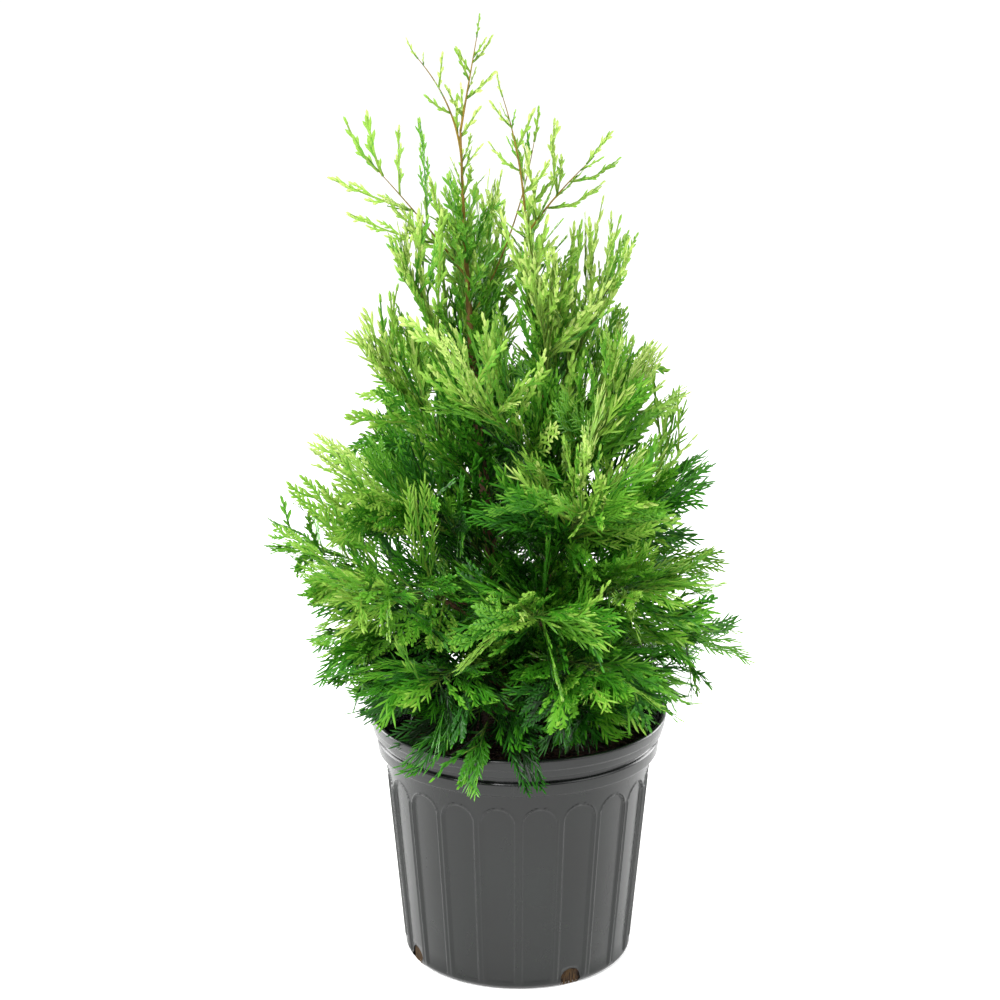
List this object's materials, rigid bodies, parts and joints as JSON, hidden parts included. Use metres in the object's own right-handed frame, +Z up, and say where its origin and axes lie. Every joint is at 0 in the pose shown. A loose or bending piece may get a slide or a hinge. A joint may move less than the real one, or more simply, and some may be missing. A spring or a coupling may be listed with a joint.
{
  "type": "potted thuja",
  "caption": "Young evergreen conifer with flat fan-like foliage, a leaning trunk and a second leader, growing in a ribbed black nursery pot.",
  "frame": {"origin": "centre of the pot's flat underside, which stands on the ground", "axes": "+Z up the plant; +X to the right and -Y towards a viewer who has the drooping front spray in front of them"},
  "size_m": [0.4438, 0.3973, 0.8793],
  "materials": {
    "pot_plastic": "thin moulded polyethylene, satin, dark grey",
    "potting_soil": "damp bark and peat potting mix",
    "bark": "young fissured bark",
    "young_bark": "smooth reddish-brown bark",
    "foliage": "scale-leaved sprays, mid green, slightly waxy",
    "fresh_foliage": "young scale-leaved sprays, yellow-green, slightly waxy"
  },
  "bodies": {
    "root": {"pot": "pot_plastic", "soil": "potting_soil", "trunk": "bark", "second_leader": "bark", "bough_skirt_1": "young_bark", "foliage_skirt_1": "foliage", "bough_skirt_2": "young_bark", "foliage_skirt_2": "foliage", "bough_skirt_3": "young_bark", "foliage_skirt_3": "foliage", "bough_skirt_4": "young_bark", "foliage_skirt_4": "foliage", "bough_skirt_5": "young_bark", "foliage_skirt_5": "foliage", "bough_low_1": "young_bark", "foliage_low_1": "foliage", "bough_low_2": "young_bark", "foliage_low_2": "foliage", "bough_low_3": "young_bark", "foliage_low_3": "foliage", "bough_low_4": "young_bark", "foliage_low_4": "foliage", "bough_low_5": "young_bark", "foliage_low_5": "foliage", "bough_low_6": "young_bark", "foliage_low_6": "foliage", "bough_wide_1": "young_bark", "foliage_wide_1": "foliage", "bough_wide_2": "young_bark", "foliage_wide_2": "foliage", "bough_wide_3": "young_bark", "foliage_wide_3": "foliage", "bough_wide_4": "young_bark", "foliage_wide_4": "foliage", "bough_wide_5": "young_bark", "foliage_wide_5": "foliage", "bough_wide_6": "young_bark", "foliage_wide_6": "foliage", "foliage_middle_1": "foliage", "foliage_middle_2": "foliage", "foliage_middle_3": "foliage", "foliage_middle_4": "foliage", "foliage_middle_5": "foliage", "foliage_upper_1": "foliage", "foliage_upper_2": "foliage", "foliage_upper_3": "foliage", "foliage_upper_4": "foliage", "foliage_upper_5": "foliage", "foliage_high_1": "fresh_foliage", "foliage_high_2": "fresh_foliage", "foliage_high_3": "fresh_foliage", "foliage_high_4": "fresh_foliage", "foliage_trunk_top": "fresh_foliage", "foliage_side_top": "fresh_foliage", "foliage_leader_top": "fresh_foliage", "foliage_slender_top": "fresh_foliage", "foliage_left_plume": "fresh_foliage", "foliage_right_plume": "fresh_foliage", "foliage_front_droop": "foliage"}
  },
  "joints": []
}
